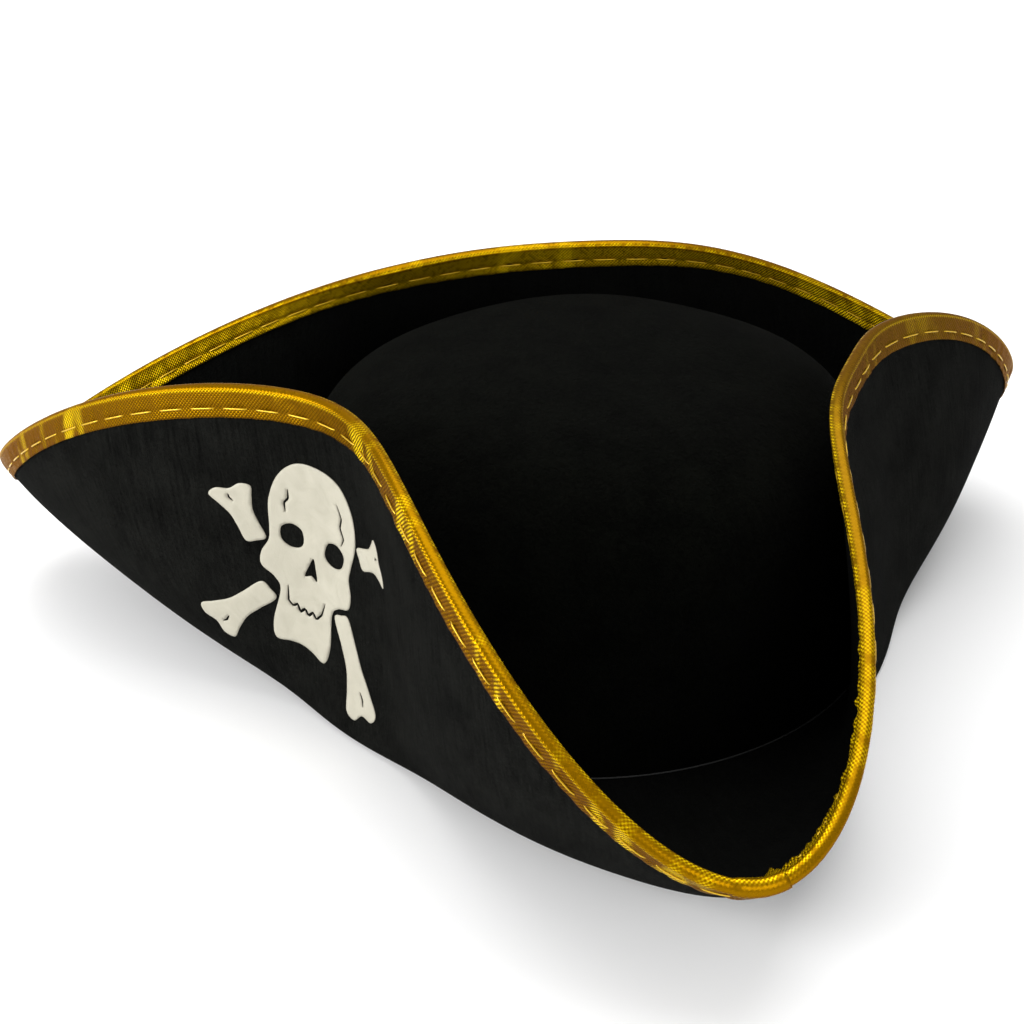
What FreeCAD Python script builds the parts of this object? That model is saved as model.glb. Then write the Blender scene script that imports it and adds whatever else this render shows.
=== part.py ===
import FreeCAD, Part
import os
from math import cos, exp, pi, radians, sin, sqrt

# A felt tricorn hat.  Millimetres, +Z up, the print flap faces -Y.
# The origin is the centre of the head opening, level with the underside of the brim.
# An angle round the hat is in degrees from -Y, towards +X.

V = FreeCAD.Vector
UP = V(0, 0, 1)
ORIGIN = V(0, 0, 0)

# ---- felt body: a domed crown standing in a ring-shaped brim
felt = 2.5                  # thickness of the pressed felt
crown_radius = 96.0         # outside of the crown's straight wall
crown_height = 101.0        # top of the dome
crown_wall_height = 31.0    # where the straight wall turns into the dome
dome_power = 3.3            # 2 is a round dome, more is a fuller one
seat_width = 3.5            # flat ring round the opening that the hat stands on
rim_bulge = 0.6             # how far the felt's rounded edge stands out
joint_gap = 0.15            # between pieces sewn face to face
lean_gap = 0.65             # between a flap and the crown it leans on

# ---- the three corners, where two flaps meet.  reach is how far the tip stands out from the
# crown's wall, spread how wide it opens along each neighbouring flap, rise how soon the rim
# climbs there (both as a share of half a flap), lean the slope of the felt at the tip.
CORNERS = (
    dict(angle=60, reach=102, height=43, lean=31, spread=(0.54, 0.42), rise=(0.36, 0.40)),
    dict(angle=169.5, reach=83, height=48, lean=60, spread=(0.38, 0.45), rise=(0.25, 0.34)),
    dict(angle=303, reach=115, height=43, lean=61, spread=(0.24, 0.57), rise=(0.21, 0.37)),
)
# ---- the three flaps, each following the corner of the same place in the list.  inset is how
# far the rim leans in over the crown's wall, skew how much more it does so at its far end.
FLAPS = (
    dict(inset=10, height=107, lean=97, skew=0),
    dict(inset=5, height=103, lean=107, skew=-7),
    dict(inset=5.5, height=114, lean=82, skew=1),
)
spread_power = 1.9          # how sharply a corner's tip stands out of the rim
rise_power = 1.82           # how sharply the rim climbs out of a corner
tip_lean_spread = 0.21      # how far round a corner its own slope carries
fold_lean = 11.0            # extra lean where a flap folds out of a corner
fold_place = 0.43           # where that fold lies, as a share of half a flap
fold_spread = 0.25
root_run_corner = 67.0      # how far the felt runs flat from the crown, below a corner
root_run_flap = 2.0         # and below a flap
rim_run_corner = 10.0       # how far the slope at the rim carries back, at a corner
rim_run_flap = 102.0        # and at a flap
stations_round = 96         # places round the hat where its section is worked out
stations_across = 10        # places across the brim

# ---- gold tape folded over the rim
tape_width = 8.8            # on each face of the felt
tape = 0.6
tape_gap = 0.15

# ---- thread
thread_radius = 0.35
thread_gap = 0.05
stitch_pitch = 11.5         # along the rim
stitch_length = 9.8
stitch_place = 0.66         # share of the tape's width from the rim to the stitching
seam_thread_radius = 0.5

# ---- ribbon inside the head opening
band_width = 28.0
band = 0.8
band_lift = 0.8             # the band's lower edge stays off what the hat stands on
band_stitch_rise = 3.0
band_stitches = 60
band_thread_radius = 0.18   # fine, so that the stitches hardly stand out of the ribbon

# ---- skull print on the flap that faces -Y, a thin transfer on the felt's outer face
print_film = 0.35
print_gap = 0.05
print_top_margin = 13.7     # from the tape down to the top of the skull
print_bottom_margin = 23.5  # from what the hat stands on up to the jaw
print_shift = -8.9          # sideways
print_tilt = 12.0           # degrees, the skull's top towards +X

# Outlines as shares of the skull's height, (across, up) from its middle.
skull_half = (
    (0.00, 0.50), (0.12, 0.475), (0.20, 0.38), (0.232, 0.24), (0.218, 0.10), (0.215, 0.03),
    (0.242, -0.05), (0.235, -0.12), (0.17, -0.16), (0.138, -0.22), (0.155, -0.40), (0.135, -0.49),
    (0.06, -0.472), (0.00, -0.462),
)
eye_hole = (
    (0.055, 0.08), (0.07, 0.14), (0.12, 0.155), (0.165, 0.12), (0.16, 0.06), (0.12, 0.035),
    (0.075, 0.045),
)
nose_hole = (
    (0.00, 0.02), (0.018, -0.03), (0.032, -0.09), (0.00, -0.075), (-0.032, -0.09), (-0.018, -0.03),
)
# Half of a bone end: (share of its length, out from its middle line).
bone_half = (
    (0.00, 0.00), (0.03, 0.050), (0.30, 0.052), (0.52, 0.056), (0.74, 0.082), (0.92, 0.104),
    (1.00, 0.060), (0.95, 0.00),
)
# where each bone end comes out beside the skull, its direction in degrees above across, its length
bones = {
    "upper_left": (-0.265, 0.00, 122, 0.28),
    "upper_right": (0.265, 0.175, 33, 0.25),
    "lower_left": (-0.185, -0.235, 231, 0.44),
    "lower_right": (0.193, -0.18, -61, 0.50),
}


def soft_max(a, b, blend):
    """The larger of two lengths, rounded over where they cross."""
    return (a + b + sqrt((a - b) ** 2 + blend ** 2)) / 2


def bell(x, width, power):
    """1 at x = 0, falling smoothly to nothing a few widths away."""
    return exp(-abs(x / width) ** power)


def crown_outside(z):
    """Radius of the crown's outside at a height: a straight wall, then a superellipse."""
    if z >= crown_height:
        return 0.0
    share = max(0.0, (z - crown_wall_height) / (crown_height - crown_wall_height))
    return crown_radius * (1 - share ** dome_power) ** (1 / dome_power)


def rim(angle):
    """Reach from the axis, height, slope and nearness to a corner of the rim at an angle."""
    starts = [corner["angle"] for corner in CORNERS]
    angle = (angle - starts[0]) % 360 + starts[0]
    first = max(i for i, start in enumerate(starts) if start <= angle)
    second = (first + 1) % 3
    near, far, flap = CORNERS[first], CORNERS[second], FLAPS[first]
    span = (far["angle"] - near["angle"]) % 360
    share = (angle - near["angle"]) / span
    to_near, to_far = 2 * share, 2 * (1 - share)
    tip_near = bell(to_near, near["spread"][1], spread_power)
    tip_far = bell(to_far, far["spread"][0], spread_power)
    low_near = bell(to_near, near["rise"][1], rise_power)
    low_far = bell(to_far, far["rise"][0], rise_power)
    turn_near = bell(to_near, tip_lean_spread, 2)
    turn_far = bell(to_far, tip_lean_spread, 2)
    folds = bell(to_near - fold_place, fold_spread, 2) + bell(to_far - fold_place, fold_spread, 2)
    flat = -flap["inset"] - flap["skew"] * (2 * share - 1) * (1 - tip_near - tip_far)
    reach = crown_radius + flat
    reach += (near["reach"] + flap["inset"]) * tip_near + (far["reach"] + flap["inset"]) * tip_far
    height = flap["height"]
    height += (near["height"] - flap["height"]) * low_near + (far["height"] - flap["height"]) * low_far
    lean = flap["lean"] + fold_lean * folds
    lean += (near["lean"] - flap["lean"]) * turn_near + (far["lean"] - flap["lean"]) * turn_far
    return reach, height, lean, min(1.0, tip_near + tip_far)


def brim_middle(angle, share):
    """Point of the felt's middle surface: a Bezier curve from the seat ring out to the rim."""
    reach, height, lean, corner = rim(angle)
    root_run = root_run_corner * corner + root_run_flap * (1 - corner)
    rim_run = rim_run_corner * corner + rim_run_flap * (1 - corner)
    slope = radians(lean)
    root = crown_radius + seat_width
    across = (root, root + root_run, reach - rim_run * cos(slope), reach)
    upward = (felt / 2, felt / 2, height - rim_run * sin(slope), height)
    rest = 1 - share
    weights = (rest ** 3, 3 * rest ** 2 * share, 3 * rest * share ** 2, share ** 3)
    r = sum(w * a for w, a in zip(weights, across))
    z = sum(w * a for w, a in zip(weights, upward))
    r = soft_max(r, crown_outside(z) + felt / 2 + lean_gap, 2.0)
    turn = radians(angle)
    return V(r * sin(turn), -r * cos(turn), z)


def brim_point(angle, share, off):
    """Point at a distance off the felt's middle, positive towards the crown's side."""
    if share == 0:
        return brim_middle(angle, 0) + UP * off
    step = 1e-3
    along = brim_middle(angle + 1, share) - brim_middle(angle - 1, share)
    low, high = max(0.0, share - step), min(1.0, share + step)
    outward = brim_middle(angle, high) - brim_middle(angle, low)
    normal = outward.cross(along).normalize()
    return brim_middle(angle, share) + normal * off


def share_from_rim(angle, distance):
    """Share of the brim's width that lies a given distance in from the rim."""
    steps = 60
    share, left = 1.0, distance
    last = brim_middle(angle, share)
    while left > 0 and share > 0:
        here = brim_middle(angle, share - 1 / steps)
        run = (last - here).Length
        if run >= left:
            return share - left / run / steps
        left -= run
        share -= 1 / steps
        last = here
    return max(share, 0.0)


def through(points, closed):
    """Cubic B-spline curve through points, evenly spaced in its parameter."""
    curve = Part.BSplineCurve()
    count = len(points) + (1 if closed else 0)
    places = [i / (count - 1) for i in range(count)]
    curve.interpolate(Points=points, PeriodicFlag=closed, Parameters=places)
    return curve


def ring_surface(rows):
    """Surface through rows of points, each row a closed ring round the hat."""
    rings = [through(row, True) for row in rows]
    columns = list(zip(*[ring.getPoles() for ring in rings]))
    if len(rows) == 2:
        poles, knots, mults, degree = columns, [0, 1], [2, 2], 1
    else:
        lines = [through(list(column), False) for column in columns]
        poles = [line.getPoles() for line in lines]
        knots, mults, degree = lines[0].getKnots(), lines[0].getMultiplicities(), 3
    surface = Part.BSplineSurface()
    surface.buildFromPolesMultsKnots(
        poles, rings[0].getMultiplicities(), mults, rings[0].getKnots(), knots, True, False, 3, degree)
    return surface


def thirds(shape, closed_range):
    """A closed curve or ring surface cut into three lengths."""
    first, last = closed_range
    cuts = [first + (last - first) * i / 3 for i in range(4)]
    pieces = []
    for start, end in zip(cuts, cuts[1:]):
        piece = shape.copy()
        if isinstance(piece, Part.BSplineSurface):
            piece.segment(start, end, 0, 1)
        else:
            piece.segment(start, end)
        pieces.append(piece.toShape())
    return pieces


def ring_faces(rows):
    """Faces of the surface through rows of points."""
    surface = ring_surface(rows)
    surface.setUNotPeriodic()
    return thirds(surface, surface.bounds()[:2])


def level_face(row, radius):
    """Flat face between a level ring of points and the round opening inside it."""
    curve = through(row, True)
    curve.setNotPeriodic()
    outer = Part.Wire(thirds(curve, (curve.FirstParameter, curve.LastParameter)))
    inner = Part.Wire(Part.makeCircle(radius, V(0, 0, row[0].z)))
    return Part.makeFace([outer, inner], "Part::FaceMakerBullseye")


def sewn(faces):
    """Solid closed by faces that share their edges."""
    shell = Part.makeShell(faces)
    shell.sewShape(1e-4)
    solid = Part.makeSolid(shell if shell.ShapeType == "Shell" else shell.Shells[0])
    if solid.Volume < 0:
        solid.reverse()
    return solid


angles = [CORNERS[0]["angle"] + 360 * i / stations_round for i in range(stations_round)]


def ring_of(section):
    """Rows of points: the section's places, each carried round the hat."""
    sections = [section(angle) for angle in angles]
    return [list(row) for row in zip(*sections)]


def lathe(outline):
    """Solid turned round the hat's axis from (radius, height) corners or finished edges."""
    if isinstance(outline[0], tuple):
        corners = [V(r, 0, z) for r, z in outline]
        wire = Part.makePolygon(corners + [corners[0]])
    else:
        wire = Part.Wire(outline)
    return Part.Face(wire).revolve(ORIGIN, UP, 360)


def stitch(start, middle, end, radius):
    """One short length of thread, bent through three points."""
    run = end - start
    sag = (middle - (start + end) / 2).Length
    if sag < run.Length / 1000:
        return Part.makeCylinder(radius, run.Length, start, run)
    bend = Part.Arc(start, middle, end)
    section = Part.Face(Part.Wire(Part.makeCircle(radius, start, bend.tangent(bend.FirstParameter)[0])))
    return Part.Wire(bend.toShape()).makePipe(section)


def write(name, shape):
    """Write one piece, or a group of like pieces, to its own file."""
    shape.exportStep("parts/" + name + ".step")
    kind = "ok" if shape.isValid() else "NOT VALID"
    print(name, len(shape.Solids), "solids", round(shape.Volume / 1000, 2), "cm3", kind)


os.makedirs("parts", exist_ok=True)


# ---- crown: a blocked dome of even thickness, its lower edge level with the brim's underside
def dome_curve(inward):
    """Outline of the dome from the top of the wall to the axis, moved inward by a thickness."""
    points = []
    steps = 14
    for i in range(steps + 1):
        part = sin(pi / 2 * i / steps)
        z = crown_wall_height + (crown_height - crown_wall_height) * part
        r = crown_radius * max(0.0, 1 - part ** dome_power) ** (1 / dome_power)
        shrink_r = (crown_radius - inward) / crown_radius
        rise = crown_height - crown_wall_height
        shrink_z = (rise - inward) / rise
        points.append(V(r * shrink_r, 0, crown_wall_height + (z - crown_wall_height) * shrink_z))
    curve = Part.BSplineCurve()
    curve.interpolate(Points=points, InitialTangent=UP, FinalTangent=V(-1, 0, 0))
    return curve.toShape(), points[0], points[-1]


outer_dome, outer_foot, outer_top = dome_curve(0.0)
inner_dome, inner_foot, inner_top = dome_curve(felt)
outer_base = V(crown_radius, 0, 0)
inner_base = V(crown_radius - felt, 0, 0)
crown = lathe([
    Part.makeLine(inner_base, outer_base),
    Part.makeLine(outer_base, outer_foot),
    outer_dome,
    Part.makeLine(outer_top, inner_top),
    inner_dome,
    Part.makeLine(inner_foot, inner_base),
])
write("crown", crown)


# ---- brim: a flat seat ring round the crown, then the felt that turns up into flaps
shares = [i / (stations_across - 1) for i in range(stations_across)]


def face_section(off):
    """Section of one face of the felt, from the seat ring to the rim."""
    return lambda angle: [brim_point(angle, share, off) for share in shares]


def round_rim(angle, off, beyond):
    """Three places round the felt's edge, which stands out a little past the ends of its faces."""
    rim_middle = brim_middle(angle, 1)
    outward = (rim_middle - brim_middle(angle, 0.99)).normalize()
    across = (brim_point(angle, 1, 1) - rim_middle).normalize()
    places = ((0.72, 0.7), (0.0, 1.0), (-0.72, 0.7))
    return [rim_middle + across * off * side + outward * beyond * out for side, out in places]


def rim_section(angle):
    """Round the felt's edge, from the crown's side to the outer side."""
    ends = [brim_point(angle, 1, felt / 2), brim_point(angle, 1, -felt / 2)]
    return [ends[0], *round_rim(angle, felt / 2, rim_bulge), ends[1]]


top_rows = ring_of(face_section(felt / 2))
under_rows = ring_of(face_section(-felt / 2))
opening = crown_radius + joint_gap
opening_wall = Part.makeCircle(opening, ORIGIN).extrude(UP * felt)
brim = sewn([
    *ring_faces(top_rows),
    *ring_faces(under_rows),
    *ring_faces(ring_of(rim_section)),
    level_face(top_rows[0], opening),
    level_face(under_rows[0], opening),
    opening_wall,
])
write("brim", brim)


# ---- edge binding: one strip of gold tape folded over the rim
def fold_section(lift):
    """Section of one skin of the folded tape, lifted off the felt: leg, fold, other leg."""
    def section(angle):
        legs = [share_from_rim(angle, tape_width * part) for part in (1, 0.66, 0.33, 0)]
        off = felt / 2 + lift
        inner = [brim_point(angle, share, off) for share in legs]
        outer = [brim_point(angle, share, -off) for share in legs]
        return inner + round_rim(angle, off, rim_bulge + lift) + outer[::-1]
    return section


inside_rows = ring_of(fold_section(tape_gap))
outside_rows = ring_of(fold_section(tape_gap + tape))
edge_binding = sewn([
    *ring_faces(inside_rows),
    *ring_faces(outside_rows),
    *ring_faces([inside_rows[0], outside_rows[0]]),
    *ring_faces([inside_rows[-1], outside_rows[-1]]),
])
write("edge_binding", edge_binding)


# ---- binding stitches: one seam through tape and felt, a row of thread lengths on each face
def rim_places(pitch, length):
    """Start, middle and end angles of stitches spaced evenly along the rim."""
    fine = 1440
    rim_points = [brim_middle(360 * i / fine, 1) for i in range(fine + 1)]
    runs = [0.0]
    for here, after in zip(rim_points, rim_points[1:]):
        runs.append(runs[-1] + (after - here).Length)
    count = round(runs[-1] / pitch)
    step = runs[-1] / count

    def angle_at(run):
        i = max(i for i in range(fine) if runs[i] <= run)
        return 360 * (i + (run - runs[i]) / (runs[i + 1] - runs[i])) / fine
    return [[angle_at(i * step + length * part) for part in (0, 0.5, 1)] for i in range(count)]


def stitch_row(off):
    """The seam's thread lengths on one face of the tape."""
    threads = []
    for places in rim_places(stitch_pitch, stitch_length):
        points = [brim_point(a, share_from_rim(a, tape_width * stitch_place), off) for a in places]
        threads.append(stitch(*points, thread_radius))
    return Part.makeCompound(threads)


thread_off = felt / 2 + tape_gap + tape + thread_gap + thread_radius
write("binding_stitches_inner", stitch_row(thread_off))
write("binding_stitches_outer", stitch_row(-thread_off))

# ---- crown seam: a thread laid in the corner between the crown and the brim
seam_radius = crown_radius + seam_thread_radius + thread_gap
seam_height = felt + seam_thread_radius + thread_gap
write("crown_seam_thread", Part.makeTorus(seam_radius, seam_thread_radius, V(0, 0, seam_height)))

# ---- sweatband: a ribbon ring inside the crown, sewn near its lower edge
band_outside = crown_radius - felt - joint_gap
band_inside = band_outside - band
sweatband = lathe([
    (band_inside, band_lift),
    (band_outside, band_lift),
    (band_outside, band_lift + band_width),
    (band_inside, band_lift + band_width),
])
write("sweatband", sweatband)

band_threads = []
thread_ring = band_inside - thread_gap - band_thread_radius
for i in range(band_stitches):
    points = []
    for part in (0, 0.3, 0.6):
        turn = 2 * pi * (i + part) / band_stitches
        points.append(V(thread_ring * sin(turn), -thread_ring * cos(turn), band_lift + band_stitch_rise))
    band_threads.append(stitch(*points, band_thread_radius))
write("sweatband_stitches", Part.makeCompound(band_threads))


# ---- skull print: the skull and four bone ends, each a separate patch that follows the flap
film_inside = felt / 2 + print_gap
film_outside = film_inside + print_film
film_rows = ring_of(face_section(-film_inside))
film_skin_rows = ring_of(face_section(-film_outside))
film_sheet = sewn([
    *ring_faces(film_rows),
    *ring_faces(film_skin_rows),
    *ring_faces([film_rows[0], film_skin_rows[0]]),
    *ring_faces([film_rows[-1], film_skin_rows[-1]]),
])
print_top = FLAPS[2]["height"] - tape_width - print_top_margin
skull_height = print_top - print_bottom_margin
skull_middle = (print_top + print_bottom_margin) / 2
cut_front = -2 * (crown_radius + max(corner["reach"] for corner in CORNERS))


def on_print(across, up):
    """Point of the print's own plane, turned by its tilt and set at its place on the flap."""
    turn = radians(print_tilt)
    x = across * cos(turn) + up * sin(turn)
    z = up * cos(turn) - across * sin(turn)
    return V(print_shift + x * skull_height, cut_front, skull_middle + z * skull_height)


def cutter(outline):
    """Block with a smooth closed outline, running through the flap and no further than the axis."""
    wire = Part.Wire(through([on_print(across, up) for across, up in outline], True).toShape())
    return Part.Face(wire).extrude(V(0, -cut_front, 0))


def mirrored(half, closed_ends):
    """An outline completed by its mirror image; ends on the mirror line aren't repeated."""
    middle = half[1:-1] if closed_ends else half
    return list(half) + [(-across, up) for across, up in reversed(middle)]


skull_block = cutter(mirrored(skull_half, True))
for side in (-1, 1):
    skull_block = skull_block.cut(cutter([(side * across, up) for across, up in eye_hole]))
skull_block = skull_block.cut(cutter(nose_hole))
write("skull_print", film_sheet.common(skull_block))

bone_outline = list(bone_half) + [(along, -out) for along, out in reversed(bone_half[1:-1])]
for place, (across, up, direction, length) in bones.items():
    turn = radians(direction)
    outline = []
    for along, out in bone_outline:
        run = along * length
        outline.append((across + run * cos(turn) - out * sin(turn), up + run * sin(turn) + out * cos(turn)))
    write("bone_print_" + place, film_sheet.common(cutter(outline)))
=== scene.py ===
import bmesh
import bpy
import numpy as np
from mathutils import Matrix, Vector
from mathutils.geometry import delaunay_2d_cdt


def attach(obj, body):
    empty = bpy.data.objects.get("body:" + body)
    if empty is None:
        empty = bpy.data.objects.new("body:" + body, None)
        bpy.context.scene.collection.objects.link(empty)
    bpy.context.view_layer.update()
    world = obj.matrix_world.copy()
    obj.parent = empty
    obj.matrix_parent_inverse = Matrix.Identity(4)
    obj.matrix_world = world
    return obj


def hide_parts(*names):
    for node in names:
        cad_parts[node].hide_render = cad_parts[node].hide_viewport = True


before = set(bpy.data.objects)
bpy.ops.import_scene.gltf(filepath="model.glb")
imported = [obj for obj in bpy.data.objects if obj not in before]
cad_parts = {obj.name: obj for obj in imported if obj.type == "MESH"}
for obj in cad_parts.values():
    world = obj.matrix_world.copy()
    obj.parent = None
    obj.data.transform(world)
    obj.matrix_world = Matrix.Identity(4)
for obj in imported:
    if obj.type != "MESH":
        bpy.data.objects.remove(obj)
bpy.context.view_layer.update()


# ---------------------------------------------------------------- brim
# A ring of pressed wool felt, 2.5 mm thick, sewn round the foot of the crown and turned up in
# three flaps that lean on it.  Between the flaps it runs out flat into three open corners.
# Angles round the hat are in degrees from -Y towards +X; a share runs from crown (0) to rim (1).
felt = 0.0025
crown_radius = 0.096
crown_height = 0.101
crown_wall_height = 0.031
dome_power = 3.3
seat_width = 0.0035
rim_bulge = 0.0006
joint_gap = 0.00015
lean_gap = 0.00065
corner_angle = np.array([60, 169.5, 303])
corner_reach = np.array([0.102, 0.083, 0.115])
corner_height = np.array([0.043, 0.048, 0.043])
corner_lean = np.array([31.0, 60, 61])
corner_spread_before = np.array([0.54, 0.38, 0.24])
corner_spread_after = np.array([0.42, 0.45, 0.57])
corner_rise_before = np.array([0.36, 0.25, 0.21])
corner_rise_after = np.array([0.40, 0.34, 0.37])
flap_inset = np.array([0.010, 0.005, 0.0055])
flap_height = np.array([0.107, 0.103, 0.114])
flap_lean = np.array([97.0, 107, 82])
flap_skew = np.array([0, -0.007, 0.001])
spread_power = 1.9
rise_power = 1.82
tip_lean_spread = 0.21
fold_lean = 11.0
fold_place = 0.43
fold_spread = 0.25
root_run_corner, root_run_flap = 0.067, 0.002
rim_run_corner, rim_run_flap = 0.010, 0.102
lean_blend = 0.002
ripple_depth = 0.0003


def bell(x, width, power):
    """One at x = 0, falling smoothly to nothing a few widths away."""
    return np.exp(-np.abs(x / width) ** power)


def crown_outside(z):
    """Radius of the crown at a height: a straight wall, then a superellipse that closes at the top."""
    share = np.clip((z - crown_wall_height) / (crown_height - crown_wall_height), 0, 1)
    return crown_radius * (1 - share ** dome_power) ** (1 / dome_power)


def rim_at(angle):
    """Reach, height, slope and nearness to a corner of the rim: each flap's own values, carried
    over into those of the corners at its two ends by bell curves."""
    turned = (angle - corner_angle[0]) % 360 + corner_angle[0]
    near = np.clip(np.searchsorted(corner_angle, turned, side="right") - 1, 0, 2)
    far = (near + 1) % 3
    share = (turned - corner_angle[near]) / ((corner_angle[far] - corner_angle[near]) % 360)
    to_near, to_far = 2 * share, 2 * (1 - share)
    tip_near = bell(to_near, corner_spread_after[near], spread_power)
    tip_far = bell(to_far, corner_spread_before[far], spread_power)
    low_near = bell(to_near, corner_rise_after[near], rise_power)
    low_far = bell(to_far, corner_rise_before[far], rise_power)
    turn_near = bell(to_near, tip_lean_spread, 2)
    turn_far = bell(to_far, tip_lean_spread, 2)
    folds = bell(to_near - fold_place, fold_spread, 2) + bell(to_far - fold_place, fold_spread, 2)
    inset, height, lean = flap_inset[near], flap_height[near], flap_lean[near]
    reach = crown_radius - inset - flap_skew[near] * (2 * share - 1) * (1 - tip_near - tip_far)
    reach = reach + (corner_reach[near] + inset) * tip_near + (corner_reach[far] + inset) * tip_far
    rim_height = height + (corner_height[near] - height) * low_near
    rim_height = rim_height + (corner_height[far] - height) * low_far
    slope = lean + fold_lean * folds + (corner_lean[near] - lean) * turn_near
    slope = slope + (corner_lean[far] - lean) * turn_far
    return reach, rim_height, slope, np.minimum(1, tip_near + tip_far)


def felt_middle(angle, share):
    """Middle of the felt: a Bezier curve from the seat ring to the rim, pushed clear of the crown
    by a rounded maximum, with a slow ripple left by the steam pressing."""
    angle, share = np.broadcast_arrays(np.asarray(angle, float), np.asarray(share, float))
    reach, height, lean, corner = rim_at(angle)
    root_run = root_run_corner * corner + root_run_flap * (1 - corner)
    rim_run = rim_run_corner * corner + rim_run_flap * (1 - corner)
    slope = np.radians(lean)
    root = crown_radius + seat_width
    rest = 1 - share
    weights = (rest ** 3, 3 * rest ** 2 * share, 3 * rest * share ** 2, share ** 3)
    across = (root, root + root_run, reach - rim_run * np.cos(slope), reach)
    upward = (felt / 2, felt / 2, height - rim_run * np.sin(slope), height)
    r = sum(w * a for w, a in zip(weights, across))
    z = sum(w * a for w, a in zip(weights, upward))
    turn = np.radians(angle)
    r = r + ripple_depth * np.sin(np.pi * share) * (np.sin(9 * turn + 5 * share) + np.sin(14 * turn + 2))
    least = crown_outside(z) + felt / 2 + lean_gap
    r = (r + least + np.sqrt((r - least) ** 2 + lean_blend ** 2)) / 2
    return np.stack([r * np.sin(turn), -r * np.cos(turn), z], -1)


def unit(vectors):
    """Each vector at length one."""
    return vectors / np.linalg.norm(vectors, axis=-1, keepdims=True)


def felt_normal(angle, share):
    """Direction out of the felt on the crown's side, square to the surface's two directions."""
    along = felt_middle(angle + 0.5, share) - felt_middle(angle - 0.5, share)
    beyond, before = np.minimum(1, share + 1e-3), np.maximum(0, share - 1e-3)
    outward = felt_middle(angle, beyond) - felt_middle(angle, before)
    return unit(np.cross(outward, along))


def felt_point(angle, share, off):
    """Point at a distance off the felt's middle, positive on the crown's side."""
    return felt_middle(angle, share) + felt_normal(angle, share) * np.asarray(off)[..., None]


def wander(a, b, wavelength, seed, waves=14):
    """Smooth random height, about -1 to 1: a sum of sine waves in random directions."""
    rng = np.random.default_rng(seed)
    total = 0
    for _ in range(waves):
        heading, phase = rng.uniform(0, 2 * np.pi, 2)
        number = 2 * np.pi / wavelength * rng.uniform(0.5, 1.6)
        total = total + np.sin(number * (a * np.cos(heading) + b * np.sin(heading)) + phase)
    return total / np.sqrt(waves)


def make_surface(name, points, closed_rows=False, closed_columns=False, uv=None):
    """Mesh on a grid of points.  A closed direction joins its last line to its first, and uv gives
    the pattern's place in metres along the rows and the columns, with one more value if closed."""
    rows, columns = points.shape[:2]
    row_cells = rows if closed_rows else rows - 1
    column_cells = columns if closed_columns else columns - 1
    r, c = np.meshgrid(np.arange(row_cells), np.arange(column_cells), indexing="ij")
    corner_r = np.stack([r, r + 1, r + 1, r], -1).reshape(-1, 4)
    corner_c = np.stack([c, c, c + 1, c + 1], -1).reshape(-1, 4)
    faces = (corner_r % rows) * columns + corner_c % columns
    corners = points.reshape(-1, 3)[faces]
    volume = (corners[:, 0] * np.cross(corners[:, 1], corners[:, 2])).sum()
    volume += (corners[:, 0] * np.cross(corners[:, 2], corners[:, 3])).sum()
    if volume < 0:
        faces, corner_r, corner_c = faces[:, ::-1], corner_r[:, ::-1], corner_c[:, ::-1]
    mesh = fill_mesh(name, points.reshape(-1, 3), faces)
    if uv is not None:
        places = np.stack([uv[0][corner_r], uv[1][corner_c]], -1).astype(np.float32)
        mesh.uv_layers.new(name="cloth").data.foreach_set("uv", places.ravel())
    return mesh


def fill_mesh(name, points, faces):
    """Mesh from points and faces of equal corner counts, shaded smooth."""
    mesh = bpy.data.meshes.new(name)
    count, sides = faces.shape
    mesh.vertices.add(len(points))
    mesh.vertices.foreach_set("co", points.astype(np.float32).ravel())
    mesh.loops.add(count * sides)
    mesh.loops.foreach_set("vertex_index", faces.astype(np.int32).ravel())
    mesh.polygons.add(count)
    mesh.polygons.foreach_set("loop_start", np.arange(0, count * sides, sides, dtype=np.int32))
    mesh.polygons.foreach_set("loop_total", np.full(count, sides, np.int32))
    mesh.polygons.foreach_set("use_smooth", np.ones(count, bool))
    mesh.update(calc_edges=True)
    mesh.validate()
    return mesh


def paint(mesh, name, values):
    """Store one value for each point of a mesh, for its material to read."""
    layer = mesh.attributes.new(name, "FLOAT", "POINT")
    layer.data.foreach_set("value", values.astype(np.float32).ravel())


def put_on_hat(mesh, material, node):
    """Show a mesh as a finished piece that rides on the hat and stands for its plain solid."""
    piece = bpy.data.objects.new(mesh.name, mesh)
    bpy.context.scene.collection.objects.link(piece)
    mesh.materials.append(material)
    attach(piece, "root")
    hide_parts(node)
    return piece


def add_node(tree, kind, inputs=(), **settings):
    """One shader node; each input is either linked from a socket or set to a value."""
    made = tree.nodes.new("ShaderNode" + kind)
    for name, value in settings.items():
        setattr(made, name, value)
    for name, value in dict(inputs).items():
        if isinstance(value, bpy.types.NodeSocket):
            tree.links.new(value, made.inputs[name])
        else:
            made.inputs[name].default_value = value
    return made


def new_group(name, inputs, outputs):
    """Empty shader group with named number or vector inputs and number outputs."""
    tree = bpy.data.node_groups.new(name, "ShaderNodeTree")
    for label, kind in inputs:
        tree.interface.new_socket(label, in_out="INPUT", socket_type="NodeSocket" + kind)
    for label in outputs:
        tree.interface.new_socket(label, in_out="OUTPUT", socket_type="NodeSocketFloat")
    return tree, tree.nodes.new("NodeGroupInput").outputs, tree.nodes.new("NodeGroupOutput").inputs


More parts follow.
